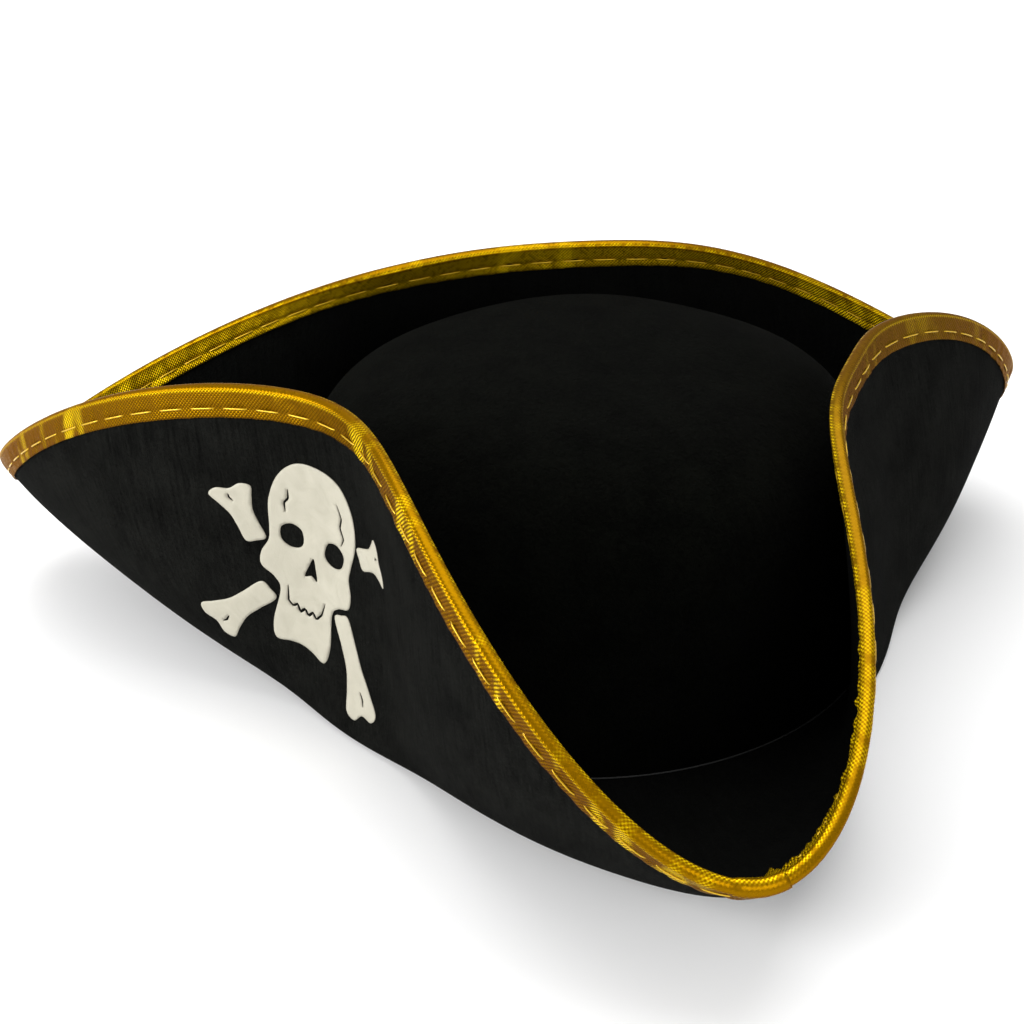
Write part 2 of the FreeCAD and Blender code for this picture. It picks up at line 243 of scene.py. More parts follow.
def make_nap_group():
    """Felt nap: matted fibre clumps of about a millimetre, over slow patches of pressing."""
    vector = ("Place", "Vector")
    tree, given, result = new_group("felt_nap", [vector, ("Clumps", "Float"), ("Patches", "Float")],
                                    ["Shade", "Height"])
    clumps = add_node(tree, "TexNoise", {"Vector": given["Place"], "Scale": given["Clumps"],
                                         "Detail": 5.0, "Roughness": 0.68, "Distortion": 0.6})
    patches = add_node(tree, "TexNoise", {"Vector": given["Place"], "Scale": given["Patches"],
                                          "Detail": 3.0, "Roughness": 0.6})
    shade = add_node(tree, "Math", {0: clumps.outputs["Fac"], 1: patches.outputs["Fac"]},
                     operation="MULTIPLY")
    lifted = add_node(tree, "Math", {0: shade.outputs[0], 1: 2.2}, operation="MULTIPLY", use_clamp=True)
    height = add_node(tree, "Math", {0: clumps.outputs["Fac"], 1: 3.0, 2: patches.outputs["Fac"]},
                      operation="MULTIPLY_ADD")
    tree.links.new(lifted.outputs[0], result["Shade"])
    tree.links.new(height.outputs[0], result["Height"])
    return tree


nap_group = make_nap_group()


def new_material(name, **settings):
    """Material whose Principled shader has the given values set on its own sockets."""
    material = bpy.data.materials.new(name)
    material.use_nodes = True
    shader = material.node_tree.nodes["Principled BSDF"]
    for label, value in settings.items():
        shader.inputs[label.replace("_", " ")].default_value = value
    return material, material.node_tree, shader


def black_felt(name, painted_shade_colour, light, grain_strength, clumps=900.0):
    """Black wool felt: nap shade between two near blacks, grain along the flap, a soft sheen."""
    material, tree, shader = new_material(name, Roughness=0.95, Sheen_Weight=0.006,
                                          Sheen_Roughness=0.5, Specular_IOR_Level=0.01)
    place = add_node(tree, "TexCoord").outputs["Object"]
    cloth = add_node(tree, "UVMap", uv_map="cloth").outputs["UV"]
    nap = add_node(tree, "Group", node_tree=nap_group)
    tree.links.new(place, nap.inputs["Place"])
    nap.inputs["Clumps"].default_value = clumps
    nap.inputs["Patches"].default_value = 70.0
    combed = add_node(tree, "Mapping", {"Vector": cloth, "Scale": (1300, 120, 1)})
    grain = add_node(tree, "TexNoise", {"Vector": combed.outputs[0], "Scale": 1.0, "Detail": 3.0})
    blend = add_node(tree, "Mix", {"Factor": grain_strength, 2: nap.outputs["Shade"],
                                   3: grain.outputs["Fac"]}, data_type="FLOAT")
    spread = add_node(tree, "MapRange", {"Value": blend.outputs[0], "From Min": 0.32, "From Max": 0.68})
    side = add_node(tree, "Attribute", attribute_name="outer_side")
    # Painted shade: faces not marked as the outer side take these darker colours, standing in for the shade
    # inside the hat.
    inner = add_node(tree, "Mix", {"Factor": spread.outputs[0], 6: (*painted_shade_colour, 1),
                                   7: tuple(2.4 * x for x in painted_shade_colour) + (1,)}, data_type="RGBA")
    outer = add_node(tree, "Mix", {"Factor": spread.outputs[0], 6: tuple(0.3 * x for x in light) + (1,),
                                   7: tuple(1.6 * x for x in light) + (1,)}, data_type="RGBA")
    colour = add_node(tree, "Mix", {"Factor": side.outputs["Fac"], 6: inner.outputs[2],
                                    7: outer.outputs[2]}, data_type="RGBA")
    tree.links.new(colour.outputs[2], shader.inputs["Base Color"])
    height = add_node(tree, "Math", {0: grain.outputs["Fac"], 1: grain_strength, 2: nap.outputs["Height"]},
                      operation="MULTIPLY_ADD")
    bump = add_node(tree, "Bump", {"Height": height.outputs[0], "Strength": 0.8, "Distance": 0.0007})
    tree.links.new(bump.outputs[0], shader.inputs["Normal"])
    return material


def brim_section(angle, shares):
    """Closed section of the felt at each angle: over its upper face, round the rim, back under it,
    and across the cut edge against the crown."""
    angle = angle[:, None]
    turn = np.radians(angle[:, 0])
    rim_middle = felt_middle(angle, np.ones((1, 1)))
    across = felt_normal(angle, np.ones((1, 1)))
    outward = unit(rim_middle - felt_middle(angle, np.full((1, 1), 0.99)))
    bend = np.linspace(0, np.pi, 11)[1:-1][None, :, None]
    round_edge = rim_middle + across * felt / 2 * np.cos(bend) + outward * rim_bulge * np.sin(bend)
    inner_edge = crown_radius + joint_gap
    seat_radii = np.linspace(inner_edge, crown_radius + seat_width, 4)[:-1]

    def seat(z):
        """Flat ring round the opening, at a height."""
        flat = np.stack([np.outer(np.sin(turn), seat_radii), -np.outer(np.cos(turn), seat_radii)], -1)
        return np.concatenate([flat, np.full((len(turn), 3, 1), z)], -1)
    upper = felt_point(angle, shares[None, 1:], felt / 2)
    under = felt_point(angle, shares[None, 1:], -felt / 2)
    root = felt_middle(angle, np.zeros((1, 1)))
    up = np.array([0, 0, felt / 2])
    return np.concatenate([seat(felt), root + up, upper, round_edge,
                           under[:, ::-1], root - up, seat(0.0)[:, ::-1]], 1)


brim_angles = np.linspace(0, 360, 640, endpoint=False)
brim_shares = np.linspace(0, 1, 62)
brim_points = brim_section(brim_angles, brim_shares)
brim_columns = brim_points.shape[1]
flap_width = 0.11
brim_mesh = make_surface(
    "brim_felt", brim_points, True, True,
    (np.radians(np.append(brim_angles, 360)) * 0.13,
     np.interp(np.arange(brim_columns + 1), [0, brim_columns / 2, brim_columns], [0, flap_width, 0])))
# Painted shade: only the outer faces are marked as outer side, and the inner faces get the darker colours.
outer_side = (np.arange(brim_columns) > brim_columns / 2).astype(float)
paint(brim_mesh, "outer_side", np.tile(outer_side, len(brim_angles)))
brim_felt = black_felt("black_brim_felt", (0.0017, 0.0018, 0.0016), (0.0060, 0.0062, 0.0054), 0.55)
brim = put_on_hat(brim_mesh, brim_felt, "brim")


# ---------------------------------------------------------------- crown
# A dome of the same felt, blocked over a round form: a short straight wall, then a full round
# top.  Its cut lower edge is level with the brim's underside, and the nap is a little rougher.
dent_depth = 0.0005


def crown_profile(inward, steps):
    """Radius and height from the foot of the wall to the top, moved inward by a thickness."""
    wall = np.linspace(0, crown_wall_height, 14)[:-1]
    rise = np.sin(np.linspace(0, np.pi / 2, steps))
    shrink = 1 - inward / crown_radius
    dome_rise = crown_height - crown_wall_height
    r = crown_radius * (1 - rise ** dome_power).clip(0) ** (1 / dome_power) * shrink
    z = crown_wall_height + (dome_rise - inward) * rise
    return np.append(np.full(13, crown_radius - inward), r), np.append(wall, z)


crown_turns = np.linspace(0, 2 * np.pi, 360, endpoint=False)
outer_r, outer_z = crown_profile(0.0, 76)
inner_r, inner_z = crown_profile(felt, 44)
profile_r = np.append(outer_r, inner_r[::-1])[:, None]
profile_z = np.append(outer_z, inner_z[::-1])[:, None]
on_dome = np.clip((profile_z - crown_wall_height) / crown_wall_height, 0, 1)
x, y = profile_r * np.sin(crown_turns), -profile_r * np.cos(crown_turns)
dent = dent_depth * on_dome * (wander(x, y, 0.09, 3) - 1)
crown_points = np.stack([x * (1 + dent / 0.08), y * (1 + dent / 0.08), profile_z + dent * on_dome], -1)
crown_mesh = make_surface("crown_felt", crown_points, True, True,
                          (np.linspace(0, 0.26, len(profile_r) + 1), np.linspace(0, 0.6, 361)))
# Painted shade: the whole crown, its outside too, is marked as inner side, so it takes the darker colours.
paint(crown_mesh, "outer_side", np.zeros(len(crown_mesh.vertices)))
crown_shape = bmesh.new()
crown_shape.from_mesh(crown_mesh)
bmesh.ops.remove_doubles(crown_shape, verts=crown_shape.verts, dist=1e-7)
crown_shape.to_mesh(crown_mesh)
crown_shape.free()
# The crown's colours are darker still than the brim's inner side: painted shade.
crown_felt = black_felt("black_crown_felt", (0.0010, 0.0011, 0.0008), (0.003, 0.003, 0.003), 0.1, 620.0)
crown = put_on_hat(crown_mesh, crown_felt, "crown")


# ---------------------------------------------------------------- crown seam thread
# The line of thread that closes the joint between crown and brim lies in the corner between
# them.  It catches the light as one thin pale line.
thread_gap = 0.00005
seam_thread_radius = 0.0003


def ring_cord(name, ring_radius, height, thickness, twists, sides=10, steps=720):
    """A closed cord round the hat's axis: a circle carried round, its radius swelling with the twist."""
    turn = np.linspace(0, 2 * np.pi, steps, endpoint=False)[:, None]
    side = np.linspace(0, 2 * np.pi, sides, endpoint=False)[None, :]
    swell = thickness * (0.92 + 0.08 * np.sin(twists * turn + 2 * side))
    r = ring_radius + swell * np.cos(side)
    z = height + swell * np.sin(side)
    return make_surface(name, np.stack([r * np.sin(turn), -r * np.cos(turn), z], -1), True, True,
                        (np.linspace(0, 0.6, steps + 1), np.linspace(0, 0.003, sides + 1)))


def thread_material(name, colour, rough, metal=0.0):
    """Twisted thread: fine slanting bands of lighter and darker ply, with a fibre bump."""
    material, tree, shader = new_material(name, Roughness=rough, Metallic=metal)
    place = add_node(tree, "TexCoord").outputs["Object"]
    ply = add_node(tree, "TexNoise", {"Vector": place, "Scale": 1400.0, "Detail": 2.0})
    shade = add_node(tree, "Mix", {"Factor": ply.outputs["Fac"], 6: tuple(0.6 * c for c in colour) + (1,),
                                   7: tuple(min(1, 1.3 * c) for c in colour) + (1,)}, data_type="RGBA")
    tree.links.new(shade.outputs[2], shader.inputs["Base Color"])
    bump = add_node(tree, "Bump", {"Height": ply.outputs["Fac"], "Strength": 0.4, "Distance": 0.0001})
    tree.links.new(bump.outputs[0], shader.inputs["Normal"])
    return material


seam_mesh = ring_cord("crown_seam_cord", crown_radius + seam_thread_radius + thread_gap,
                      felt + seam_thread_radius + thread_gap, seam_thread_radius, 300)
put_on_hat(seam_mesh, thread_material("grey_seam_thread", (0.02, 0.021, 0.021), 0.7),
           "crown_seam_thread")


# ---------------------------------------------------------------- sweatband
# A black ribbed ribbon, 28 mm wide, lines the head opening.  It is sewn to the crown along its
# lower edge with fine black thread, so it hides the cut felt from the wearer.
band_width = 0.028
band_thickness = 0.0008
band_lift = 0.0008
band_stitch_rise = 0.003
band_stitches = 60
band_thread_radius = 0.00018
band_outside = crown_radius - felt - joint_gap
band_inside = band_outside - band_thickness
band_turn = np.linspace(0, 2 * np.pi, 720, endpoint=False)[:, None]
band_rise = np.linspace(0, band_width, 15)
band_pucker = 0.00012 * np.sin(band_stitches * band_turn) * np.exp(-band_rise / 0.006)[None, :]
band_inner_r = band_inside + 0.0001 + band_pucker.clip(-0.0001)
band_outer_r = np.full_like(band_inner_r, band_outside)[:, ::-1]
band_r = np.concatenate([band_inner_r, band_outer_r], 1)
band_z = band_lift + np.append(band_rise, band_rise[::-1])[None, :] + 0 * band_r
band_mesh = make_surface("sweatband_ribbon",
                         np.stack([band_r * np.sin(band_turn), -band_r * np.cos(band_turn), band_z], -1),
                         True, True, (np.linspace(0, 0.58, 721), np.linspace(0, 0.058, 31)))


def make_weave_group():
    """Woven ribs: two sets of waves on the cloth's own metres, turned either way, and a random
    value for each crossing."""
    tree, given, result = new_group("woven_ribs", [("Place", "Vector"), ("Ribs", "Float"), ("Turn", "Float")],
                                    ["Height", "Chance"])
    turned = add_node(tree, "VectorRotate", {"Vector": given["Place"], "Angle": given["Turn"]},
                      rotation_type="Z_AXIS")
    scaled = add_node(tree, "VectorMath", {0: turned.outputs[0], "Scale": given["Ribs"]}, operation="SCALE")
    parts = add_node(tree, "SeparateXYZ", {0: scaled.outputs[0]})
    waves = [add_node(tree, "Math", {0: add_node(tree, "Math", {0: parts.outputs[axis], 1: 2 * np.pi},
                                                 operation="MULTIPLY").outputs[0]}, operation="SINE")
             for axis in ("X", "Y")]
    height = add_node(tree, "Math", {0: waves[0].outputs[0], 1: 0.7, 2: waves[1].outputs[0]},
                      operation="MULTIPLY_ADD")
    chance = add_node(tree, "TexWhiteNoise", {"Vector": add_node(
        tree, "VectorMath", {0: scaled.outputs[0]}, operation="FLOOR").outputs[0]})
    tree.links.new(height.outputs[0], result["Height"])
    tree.links.new(chance.outputs["Value"], result["Chance"])
    return tree


weave_group = make_weave_group()


def woven_cloth(name, ribs, turn, low, high, bump_depth, rough, **settings):
    """Cloth woven in ribs, darker in its furrows than on its crests: the furrows' darker colour is painted
    shade.
    """
    material, tree, shader = new_material(name, **settings)
    cloth = add_node(tree, "UVMap", uv_map="cloth").outputs["UV"]
    weave = add_node(tree, "Group", node_tree=weave_group)
    tree.links.new(cloth, weave.inputs["Place"])
    weave.inputs["Ribs"].default_value = ribs
    weave.inputs["Turn"].default_value = turn
    crest = add_node(tree, "MapRange", {"Value": weave.outputs["Height"], "From Min": -1.7, "From Max": 1.7})
    colour = add_node(tree, "Mix", {"Factor": crest.outputs[0], 6: (*low, 1), 7: (*high, 1)},
                      data_type="RGBA")
    dull = add_node(tree, "MapRange", {"Value": weave.outputs["Chance"],
                                       "To Min": rough[0], "To Max": rough[1]})
    bump = add_node(tree, "Bump", {"Height": weave.outputs["Height"],
                                   "Strength": 0.6, "Distance": bump_depth})
    tree.links.new(colour.outputs[2], shader.inputs["Base Color"])
    tree.links.new(dull.outputs[0], shader.inputs["Roughness"])
    tree.links.new(bump.outputs[0], shader.inputs["Normal"])
    return material, tree, shader, weave, colour, bump


# The ribbon's darker furrow colour is painted shade.
ribbon_black = woven_cloth("black_ribbon", 900.0, 0.0, (0.008, 0.008, 0.009), (0.016, 0.016, 0.018),
                           0.0002, (0.35, 0.55))[0]
sweatband = put_on_hat(band_mesh, ribbon_black, "sweatband")


def thread_lengths(name, lines, outward, radius, sides=8):
    """Short lengths of thread as one mesh: a circle carried along each line, its ends drawn to a
    point.  lines has the shape (threads, points, 3), and outward is square to each of them."""
    count, steps = lines.shape[:2]
    along = unit(np.gradient(lines, axis=1))
    sideways = unit(np.cross(along, outward))
    upward = np.cross(sideways, along)
    taper = np.minimum(1, np.minimum(np.arange(steps), np.arange(steps)[::-1]) * 0.8)[None, :, None, None]
    bend = np.linspace(0, 2 * np.pi, sides, endpoint=False)[None, None, :, None]
    skin = lines[:, :, None] + radius * taper * (sideways[:, :, None] * np.cos(bend)
                                                 + upward[:, :, None] * np.sin(bend))
    r, c = np.meshgrid(np.arange(steps - 1), np.arange(sides), indexing="ij")
    cell = np.stack([r * sides + c, r * sides + (c + 1) % sides, (r + 1) * sides + (c + 1) % sides,
                     (r + 1) * sides + c], -1).reshape(1, -1, 4)
    faces = (cell + np.arange(count)[:, None, None] * steps * sides).reshape(-1, 4)
    corners = skin.reshape(-1, 3)[faces[:cell.shape[1]]]
    centre = corners.mean((0, 1))
    shown = ((corners[:, 0] - centre) * np.cross(corners[:, 1] - corners[:, 0],
                                                corners[:, 2] - corners[:, 0])).sum()
    mesh = fill_mesh(name, skin.reshape(-1, 3), faces if shown > 0 else faces[:, ::-1])
    shape = bmesh.new()
    shape.from_mesh(mesh)
    bmesh.ops.remove_doubles(shape, verts=shape.verts, dist=1e-7)
    shape.to_mesh(mesh)
    shape.free()
    return mesh


band_run = np.linspace(0, 0.6, 9)[None, :] + np.arange(band_stitches)[:, None]
band_thread_turn = 2 * np.pi * band_run / band_stitches
band_thread_r = band_inside - thread_gap - band_thread_radius + 0.0002 * np.abs(np.linspace(-1, 1, 9)) ** 3
band_lines = np.stack([band_thread_r * np.sin(band_thread_turn), -band_thread_r * np.cos(band_thread_turn),
                       np.full_like(band_thread_turn, band_lift + band_stitch_rise)], -1)
band_outward = band_lines * np.array([-1, -1, 0])
put_on_hat(thread_lengths("sweatband_thread", band_lines, unit(band_outward), band_thread_radius),
           thread_material("black_thread", (0.01, 0.01, 0.011), 0.5), "sweatband_stitches")


# ---------------------------------------------------------------- gold edge binding
# One strip of gold lame tape, folded over the rim and sewn through.  The seam pulls it into
# puckers and, on the inside, into a groove.  Its two ends lap by 12 mm at the front corner.
tape_width = 0.0088
tape_gap = 0.00015
tape_skin = 0.0005         # from the gap out to the tape's face
stitch_pitch = 0.0115
stitch_length = 0.0098
stitch_place = 0.66
stitch_line = tape_width * stitch_place
lap_angle = 58.2
lap_turn = 3.6
lap_lift = 0.0004


def in_from_rim(angle, distance):
    """Share of the brim's width at a distance in from the rim, found by stepping along the felt."""
    angle, distance = np.broadcast_arrays(np.asarray(angle, float), np.asarray(distance, float))
    share = np.ones_like(distance)
    step = 1e-3
    for _ in range(4):
        places = share + (1 - share) * np.linspace(0, 1, 7)[:, None, None]
        run = np.linalg.norm(np.diff(felt_middle(angle, places), axis=0), axis=-1).sum(0)
        speed = np.linalg.norm(felt_middle(angle, share) - felt_middle(angle, share - step), axis=-1) / step
        share = share + (run - distance) / speed
    return share


fine_angle = np.linspace(0, 720, 5761)
fine_steps = np.linalg.norm(np.diff(felt_middle(fine_angle, 1.0), axis=0), axis=-1)
fine_run = np.append(0, np.cumsum(fine_steps))
rim_length = fine_run[2880]
stitch_count = round(rim_length / stitch_pitch)
stitch_step = rim_length / stitch_count


groove_width, gather_reach = 0.0009, 0.0022
inner_groove, outer_groove = 0.00042, 0.00022
inner_gather, outer_gather = 0.00030, 0.00013
ridge_depth, ridge_pitch = 0.00012, 0.005
crumple_depth, crumple_pitch = 0.00045, 0.0042
crumple_middle, crumple_reach = 0.198 * rim_length, 0.06


def pucker(run, inward, side):
    """How far the tape stands off the felt: a groove along the seam, gathers that fan out from
    each stitch hole, and a crumpled stretch on the inside of the front corner."""
    from_line = inward - stitch_line
    hole = np.cos(2 * np.pi * run / stitch_step)
    groove = -np.where(side > 0, inner_groove, outer_groove) * np.exp(-(from_line / groove_width) ** 2)
    gather = np.where(side > 0, inner_gather, outer_gather) * hole
    gather = gather * np.exp(-np.abs(from_line) / gather_reach)
    ridges = ridge_depth * wander(run, inward * 0.3, ridge_pitch, 11) * np.clip(inward / 0.002, 0, 1)
    front = bell((run - crumple_middle) / crumple_reach, 1.0, 4) * (side > 0)
    crumple = crumple_depth * front * wander(run, inward, crumple_pitch, 12)
    crumple = crumple * np.clip(inward / 0.0015, 0, 1)
    return groove + gather + ridges + crumple


tape_angles = np.interp(
    np.linspace(np.interp(lap_angle, fine_angle, fine_run),
                np.interp(lap_angle + 360 + lap_turn, fine_angle, fine_run), 1180), fine_run, fine_angle)
tape_run = np.interp(tape_angles, fine_angle, fine_run)[:, None]
leg = np.linspace(0, tape_width, 15)[1:]
inner_leg, outer_leg = leg[::-1][None, :], leg[None, :]
laps_over = np.clip((tape_angles - (lap_angle + 360) + 0.25) / 0.25, 0, 1)[:, None] * lap_lift
tape_end = np.clip((tape_angles - (lap_angle + 360 + lap_turn) + 1.2) / 1.2, 0, 1)[:, None]
edge_curl = 0.0014 * tape_end ** 2 * (inner_leg / tape_width) ** 2


def tape_leg(inward, side, extra):
    """One leg of the folded tape: off the felt by its gap and skin, raised by the puckers."""
    off = felt / 2 + tape_gap + tape_skin + pucker(tape_run, inward, side) + laps_over + extra
    angle = tape_angles[:, None]
    return felt_point(angle, in_from_rim(angle, inward), side * off)


rim_line = felt_middle(tape_angles[:, None], np.ones((1, 1)))
rim_across = felt_normal(tape_angles[:, None], np.ones((1, 1)))
rim_out = unit(rim_line - felt_middle(tape_angles[:, None], np.full((1, 1), 0.99)))
fold_bend = np.linspace(0, np.pi, 11)[None, :]
fold_rise = tape_gap + tape_skin + laps_over
fold = (rim_line + rim_across * ((felt / 2 + fold_rise) * np.cos(fold_bend))[..., None]
        + rim_out * ((rim_bulge + fold_rise) * np.sin(fold_bend))[..., None])
tape_points = np.concatenate([tape_leg(inner_leg, 1, edge_curl), fold, tape_leg(outer_leg, -1, 0.0)], 1)
fold_half = (felt / 2 + tape_skin) * np.pi / 2
over_fold = np.linspace(-fold_half, fold_half, 11)
tape_across = np.concatenate([-fold_half - leg[::-1], over_fold, fold_half + leg])
tape_mesh = make_surface("gold_tape", tape_points, uv=(tape_run[:, 0], tape_across))
# The tape is painted duller and darker on one flap: painted shade in place of the weaker reflection there.
# The fold is smooth satin.  Painted highlights: the tape is painted bright in slow bands across it, in a
# broken line along the fold's inner side, in a finer line along its outer side, and in flecks over the whole
# inner leg.
painted_dull_reflection_angle, painted_dull_reflection_spread = 125, 45
fold_middle, fold_reach = -0.15, 1.15        # these and the next lines in halves of the fold
inner_glints, inner_glint_width = -0.55, 0.2
outer_glints, outer_glint_width = 0.98, 0.14
inner_leg_start = -1.1
painted_dull_reflection = bell((tape_angles - painted_dull_reflection_angle) / painted_dull_reflection_spread, 1.0, 4)
painted_dull_reflection = painted_dull_reflection + bell((tape_angles - painted_dull_reflection_angle - 360) / painted_dull_reflection_spread, 1.0, 4)
paint(tape_mesh, "painted_dull_reflection", np.repeat(painted_dull_reflection, tape_points.shape[1]))
from_fold = tape_across[None, :] / fold_half
smooth_fold = bell(from_fold - fold_middle, fold_reach, 4) + 0 * tape_run
paint(tape_mesh, "smooth_fold", smooth_fold.ravel())
# Painted highlights: the places where the tape is painted as flashing bright yellow.
glint_bands = wander(tape_run, 0.25 * tape_across[None, :], 0.011, 21)
glint_reach = wander(tape_run, 0.5 * tape_across[None, :], 0.06, 22)
painted_glints = np.clip((glint_bands + glint_reach - 0.75) / 0.7, 0, 1) * (1 - 0.8 * painted_dull_reflection[:, None])
glint_line = bell(from_fold - inner_glints, inner_glint_width, 2)
glint_line = glint_line * np.clip(0.7 + 0.7 * wander(tape_run, 0, 0.004, 23), 0, 1)
glint_line = glint_line + 0.6 * bell(from_fold - outer_glints, outer_glint_width, 2)
inner_leg_glints = 0.5 * (from_fold < inner_leg_start)
painted_glints = np.maximum(painted_glints * (1 - 0.6 * smooth_fold), glint_line + inner_leg_glints)
paint(tape_mesh, "painted_glints", painted_glints.ravel())
# The furrow colour is painted shade in the weave's hollows.
furrow_gold, crest_gold = (0.075, 0.032, 0.0002), (0.235, 0.118, 0.0005)
satin_gold, dim_reflection_gold = (0.24, 0.115, 0.0006, 1), (0.13, 0.075, 0.008, 1)
painted_glint_gold = (0.95, 0.66, 0.005, 1)
gold_tape, tree, shader, weave, colour, bump = woven_cloth(
    "gold_lame", 1150.0, np.radians(45), furrow_gold, crest_gold, 0.00012, (0.24, 0.38),
    Metallic=0.7, Specular_IOR_Level=0.05, Specular_Tint=(0.5, 0.3, 0.02, 1))
creases = add_node(tree, "TexNoise", {"Vector": add_node(tree, "TexCoord").outputs["Object"],
                                      "Scale": 90.0, "Detail": 1.0, "Roughness": 0.5})
crease_bump = add_node(tree, "Bump", {"Height": creases.outputs["Fac"], "Strength": 0.2, "Distance": 0.0012,
                                      "Normal": bump.outputs[0]})
tree.links.new(crease_bump.outputs[0], shader.inputs["Normal"])
turned_over = add_node(tree, "Attribute", attribute_name="smooth_fold")
flattened = add_node(tree, "Math", {0: turned_over.outputs["Fac"], 1: -0.9, 2: 1.0},
                     operation="MULTIPLY_ADD")
shallow = add_node(tree, "Math", {0: weave.outputs["Height"], 1: flattened.outputs[0]},
                   operation="MULTIPLY")
tree.links.new(shallow.outputs[0], bump.inputs["Height"])
satin = add_node(tree, "Mix", {"Factor": turned_over.outputs["Fac"], 6: colour.outputs[2],
                               7: satin_gold}, data_type="RGBA")
# Painted shade: the flap marked here turns toward a duller, darker gold.
dim_reflection = add_node(tree, "Attribute", attribute_name="painted_dull_reflection")
dim_reflection_part = add_node(tree, "Math", {0: dim_reflection.outputs["Fac"], 1: 0.6}, operation="MULTIPLY")
reflection_dimmed = add_node(tree, "Mix", {"Factor": dim_reflection_part.outputs[0], 6: satin.outputs[2],
                                7: dim_reflection_gold}, data_type="RGBA")
# Painted highlights: a bright yellow colour and less metal where glints are painted, so they show bright
# under any light.
foil = add_node(tree, "Attribute", attribute_name="painted_glints")
fleck = add_node(tree, "MapRange", {"Value": weave.outputs["Height"], "From Min": -0.6, "From Max": 0.9})
flashing = add_node(tree, "Math", {0: foil.outputs["Fac"], 1: fleck.outputs[0]}, operation="MULTIPLY")
lit_foil = add_node(tree, "Mix", {"Factor": flashing.outputs[0], 6: reflection_dimmed.outputs[2],
                                  7: painted_glint_gold}, data_type="RGBA")
foil_metal = add_node(tree, "Math", {0: flashing.outputs[0], 1: -0.4, 2: 0.7}, operation="MULTIPLY_ADD")
tree.links.new(lit_foil.outputs[2], shader.inputs["Base Color"])
tree.links.new(foil_metal.outputs[0], shader.inputs["Metallic"])
tape = put_on_hat(tape_mesh, gold_tape, "edge_binding")
backing = tape.modifiers.new("backing", "SOLIDIFY")
backing.thickness = 0.0003
backing.offset = -1


# ---------------------------------------------------------------- binding stitches
# One row of stitches in gold thread goes through tape and felt.  Each stitch shows as a 10 mm
# length on both faces, drawn into the tape at its two ends.
gold_thread_radius = 0.00026
stitch_start = 0.0009      # from a hole to where the thread shows


def stitch_lines(side):
    """Lines of the stitches on one face: along the seam, sinking into the tape at both ends."""
    part = np.linspace(0, 1, 11)[None, :]
    run = np.arange(stitch_count)[:, None] * stitch_step + stitch_length * part + stitch_start
    angle = np.interp(run, fine_run, fine_angle)
    share = in_from_rim(angle, np.full_like(angle, stitch_line))
    sunk = 0.0007 * np.abs(2 * part - 1) ** 5
    off = felt / 2 + tape_gap + tape_skin + gold_thread_radius * 0.6
    off = off + np.where(side > 0, -0.0003, -0.00012) - sunk
    return felt_point(angle, share, side * off), side * felt_normal(angle, share)


gold_thread = thread_material("gold_thread", (0.62, 0.38, 0.008), 0.3, 0.5)
for side, name, node in ((1, "inner_gold_stitches", "binding_stitches_inner"),
                         (-1, "outer_gold_stitches", "binding_stitches_outer")):
    lines, outward = stitch_lines(side)
    put_on_hat(thread_lengths(name, lines, outward, gold_thread_radius), gold_thread, node)


# ---------------------------------------------------------------- skull and bones
# The badge on the front flap is a thin off-white film, cut out and pressed on hot.  The skull
# is one patch and each bone end another.  Eyes, nose, teeth and cracks are cut through it.
film_gap = 0.00005
film = 0.00035
badge_top = flap_height[2] - tape_width - 0.0137
badge_bottom = 0.0235
badge_shift = -0.0089
badge_tilt = np.radians(12)
skull_height = badge_top - badge_bottom
badge_middle = (badge_top + badge_bottom) / 2
skull_half = np.array([
    (0.00, 0.50), (0.12, 0.475), (0.20, 0.38), (0.232, 0.24), (0.218, 0.10), (0.215, 0.03),
    (0.242, -0.05), (0.235, -0.12), (0.17, -0.16), (0.138, -0.22), (0.155, -0.40), (0.135, -0.49),
    (0.06, -0.472), (0.00, -0.462)])
eye_hole = np.array([(0.055, 0.08), (0.07, 0.14), (0.12, 0.155), (0.165, 0.12), (0.16, 0.06),
                     (0.12, 0.035), (0.075, 0.045)])
nose_hole = np.array([(0.00, 0.02), (0.018, -0.03), (0.032, -0.09), (0.00, -0.075), (-0.032, -0.09),
                      (-0.018, -0.03)])
bone_half = np.array([(0.00, 0.00), (0.03, 0.050), (0.30, 0.052), (0.52, 0.056), (0.74, 0.082),
                      (0.92, 0.104), (1.00, 0.060), (0.95, 0.00)])
mirror = np.array([-1, 1])
# middle lines of the thin cuts: the mouth between the teeth, and a crack over each temple
teeth_cut = [(-0.105, -0.17), (-0.095, -0.255), (-0.07, -0.275), (-0.05, -0.255), (-0.03, -0.29),
             (-0.01, -0.262), (0.012, -0.29), (0.032, -0.262), (0.055, -0.288), (0.08, -0.25),
             (0.092, -0.175)]
crack_cuts = [[(-0.15, 0.33), (-0.145, 0.28), (-0.162, 0.25), (-0.152, 0.20)],
              [(0.10, 0.38), (0.135, 0.31), (0.128, 0.26), (0.155, 0.21), (0.14, 0.16)]]


def smooth_loop(points, per_span=10):
    """Closed curve through the points: a cubic between each two, its slopes from their neighbours."""
    before, after = np.roll(points, 1, 0), np.roll(points, -1, 0)
    beyond = np.roll(points, -2, 0)
    t = np.linspace(0, 1, per_span, endpoint=False)[None, :, None]
    p0, p1, p2, p3 = (p[:, None] for p in (before, points, after, beyond))
    curve = 0.5 * (2 * p1 + (p2 - p0) * t + (2 * p0 - 5 * p1 + 4 * p2 - p3) * t ** 2
                   + (3 * p1 - p0 - 3 * p2 + p3) * t ** 3)
    return curve.reshape(-1, 2)


